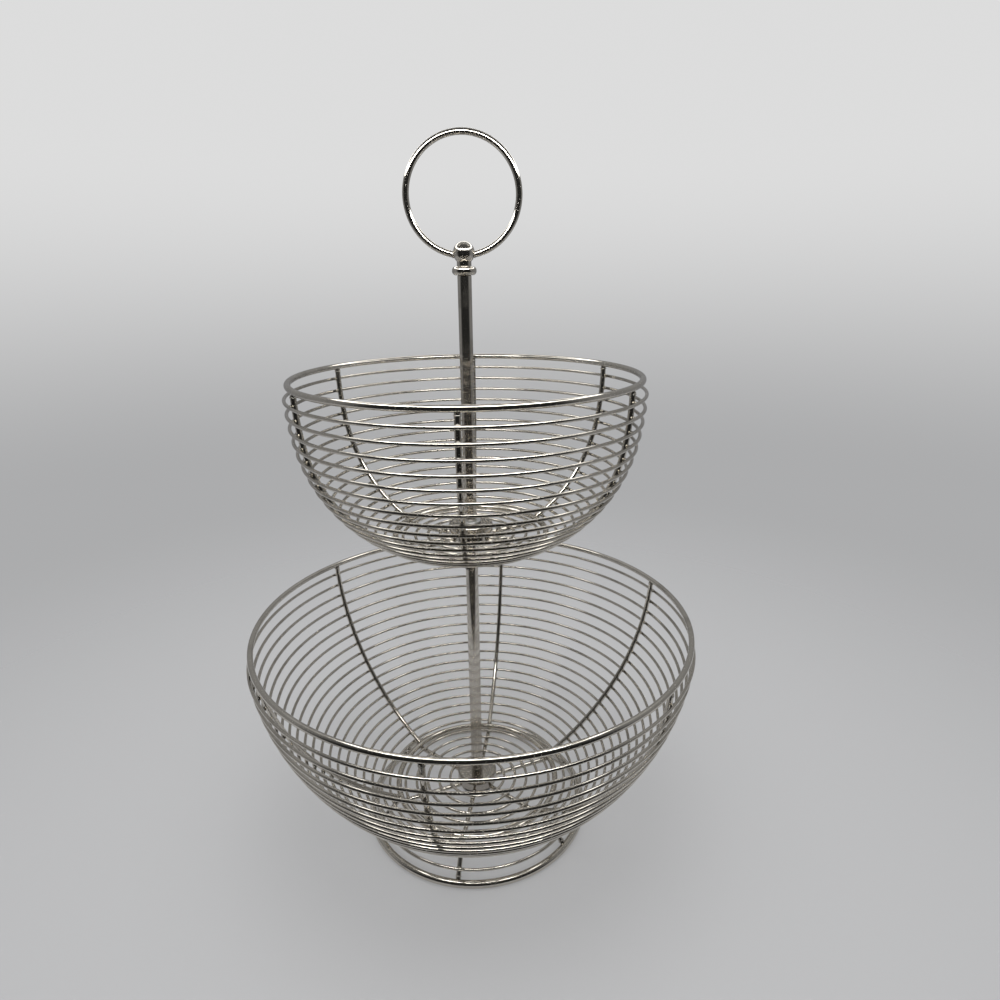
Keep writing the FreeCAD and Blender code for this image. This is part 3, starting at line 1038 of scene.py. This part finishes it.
def make_world(scene, stage):
    """Soft light from all round. Mirrored in the metal, it is a pale room with a dark front."""
    world = bpy.data.worlds.new("studio")
    scene.world = world
    world.use_nodes = True
    tree = world.node_tree
    tree.nodes.clear()
    path = tree.nodes.new("ShaderNodeLightPath")
    direction = tree.nodes.new("ShaderNodeTexCoord").outputs["Generated"]
    parts = tree.nodes.new("ShaderNodeSeparateXYZ")
    tree.links.new(direction, parts.inputs[0])
    _, y, z = parts.outputs
    rise = spread(tree, z, *BACKGROUND_RISE)
    backdrop = blend_colours(tree, rise, stage.low_background, stage.high_background)
    back = blend_colours(tree, spread(tree, z, *BACK_RISE), LOW_BACK_COLOUR, HIGH_BACK_COLOUR)
    sides = blend_colours(tree, spread(tree, y, *SIDES_TO_BACK), SIDES_COLOUR, back)
    room = blend_colours(tree, spread(tree, y, *SIDES_TO_FRONT), sides, FRONT_COLOUR)
    overhead = spread(tree, y, *CEILING_TO_BACK)
    ceiling = blend_colours(tree, overhead, FRONT_CEILING_COLOUR, BACK_CEILING_COLOUR)
    mirrored = blend_colours(tree, spread(tree, z, *ROOM_TO_CEILING), room, ceiling)
    seen_colour = blend_colours(tree, path.outputs["Is Camera Ray"], mirrored, backdrop)
    seen = add_node(tree, "ShaderNodeBackground", Strength=1.0)
    tree.links.new(seen_colour, seen.inputs["Color"])
    fill = add_node(tree, "ShaderNodeBackground", Color=(1, 1, 1, 1), Strength=stage.soft_fill)
    either = calculate(tree, "MAXIMUM", path.outputs["Is Glossy Ray"], path.outputs["Is Transmission Ray"])
    seen_or_mirrored = calculate(tree, "MAXIMUM", path.outputs["Is Camera Ray"], either)
    first_hand = calculate(tree, "LESS_THAN", path.outputs["Diffuse Depth"], 0.5)
    shown = calculate(tree, "MULTIPLY", seen_or_mirrored, first_hand)
    mix = tree.nodes.new("ShaderNodeMixShader")
    tree.links.new(shown, mix.inputs[0])
    tree.links.new(fill.outputs[0], mix.inputs[1])
    tree.links.new(seen.outputs[0], mix.inputs[2])
    output = tree.nodes.new("ShaderNodeOutputWorld")
    tree.links.new(mix.outputs[0], output.inputs["Surface"])


def make_lamp(scene, stage):
    """A round softbox over the basket."""
    data = bpy.data.lights.new("softbox", "AREA")
    data.shape = "DISK"
    data.size = stage.lamp_size
    data.energy = stage.lamp_power
    lamp = bpy.data.objects.new("softbox", data)
    lamp.location = stage.lamp_place
    lamp.visible_glossy = False
    scene.collection.objects.link(lamp)


def make_ring_lamp(scene, stage):
    """A ring of light over the basket, which only the metal mirrors."""
    bm = bmesh.new()
    upright = Matrix.Rotation(math.pi / 2, 4, "X")
    tube = Matrix.Translation((stage.ring_radius, 0, stage.ring_height)) @ upright
    bmesh.ops.create_circle(bm, segments=8, radius=stage.ring_tube, matrix=tube)
    spin_round(bm, RING_STEPS)
    bmesh.ops.recalc_face_normals(bm, faces=bm.faces[:])
    mesh = bpy.data.meshes.new("ring_lamp")
    bm.to_mesh(mesh)
    bm.free()
    ring = bpy.data.objects.new("ring_lamp", mesh)
    ring.visible_camera = False
    ring.visible_diffuse = False
    ring.visible_shadow = False
    scene.collection.objects.link(ring)
    material = bpy.data.materials.new("ring_light")
    material.use_nodes = True
    tree = material.node_tree
    glow = add_node(tree, "ShaderNodeEmission", Color=(1.0, 0.99, 0.97, 1))
    parts = tree.nodes.new("ShaderNodeSeparateXYZ")
    tree.links.new(tree.nodes.new("ShaderNodeTexCoord").outputs["Object"], parts.inputs[0])
    arc = [share * stage.ring_radius for share in RING_FRONT]
    strength = spread(tree, parts.outputs["Y"], *arc, RING_REST * stage.ring_strength, stage.ring_strength)
    tree.links.new(strength, glow.inputs["Strength"])
    tree.links.new(glow.outputs[0], tree.nodes["Material Output"].inputs["Surface"])
    mesh.materials.append(material)


def make_camera(scene, stage):
    """A level camera, pitched down and then rolled, with no shift and no depth of field."""
    data = bpy.data.cameras.new("camera")
    data.sensor_width = 36.0
    data.lens = stage.lens
    data.clip_start = 0.01
    data.clip_end = 50.0
    camera = bpy.data.objects.new("camera", data)
    looking = Matrix.Rotation(math.pi / 2 - stage.camera_pitch, 4, "X")
    rolled = Matrix.Rotation(stage.camera_roll, 4, "Z")
    camera.matrix_world = Matrix.Translation(stage.camera_place) @ looking @ rolled
    scene.collection.objects.link(camera)
    scene.camera = camera


# Add-on

class BASKET_PT_panel(bpy.types.Panel):
    """Lists the basket's pieces and settings"""

    bl_idname = "BASKET_PT_panel"
    bl_label = "Tiered Wire Basket"
    bl_space_type = "VIEW_3D"
    bl_region_type = "UI"
    bl_category = "Basket"

    def draw(self, context):
        for operator in OPERATORS:
            self.layout.operator(operator.bl_idname)
        scene = context.scene
        for settings in (scene.basket_finish, scene.basket_details, scene.basket_stage):
            for name in settings.__annotations__:
                self.layout.prop(settings, name)


OPERATORS = (
    BASKET_OT_rings, BASKET_OT_hoops, BASKET_OT_ribs, BASKET_OT_welds, BASKET_OT_posts,
    BASKET_OT_finial, BASKET_OT_hubs, BASKET_OT_washers, BASKET_OT_screws, BASKET_OT_stage)
CLASSES = (BasketFinishSettings, BasketDetailSettings, BasketStageSettings, *OPERATORS, BASKET_PT_panel)


def register():
    for item in CLASSES:
        bpy.utils.register_class(item)
    bpy.types.Scene.basket_finish = PointerProperty(type=BasketFinishSettings)
    bpy.types.Scene.basket_details = PointerProperty(type=BasketDetailSettings)
    bpy.types.Scene.basket_stage = PointerProperty(type=BasketStageSettings)


def unregister():
    del bpy.types.Scene.basket_stage
    del bpy.types.Scene.basket_details
    del bpy.types.Scene.basket_finish
    for item in reversed(CLASSES):
        bpy.utils.unregister_class(item)


def main():
    register()
    bpy.ops.basket.rings()
    bpy.ops.basket.hoops()
    bpy.ops.basket.ribs()
    bpy.ops.basket.welds()
    bpy.ops.basket.posts()
    bpy.ops.basket.finial()
    bpy.ops.basket.hubs()
    bpy.ops.basket.washers()
    bpy.ops.basket.screws()
    bpy.ops.basket.stage()


if __name__ == "__main__":
    main()
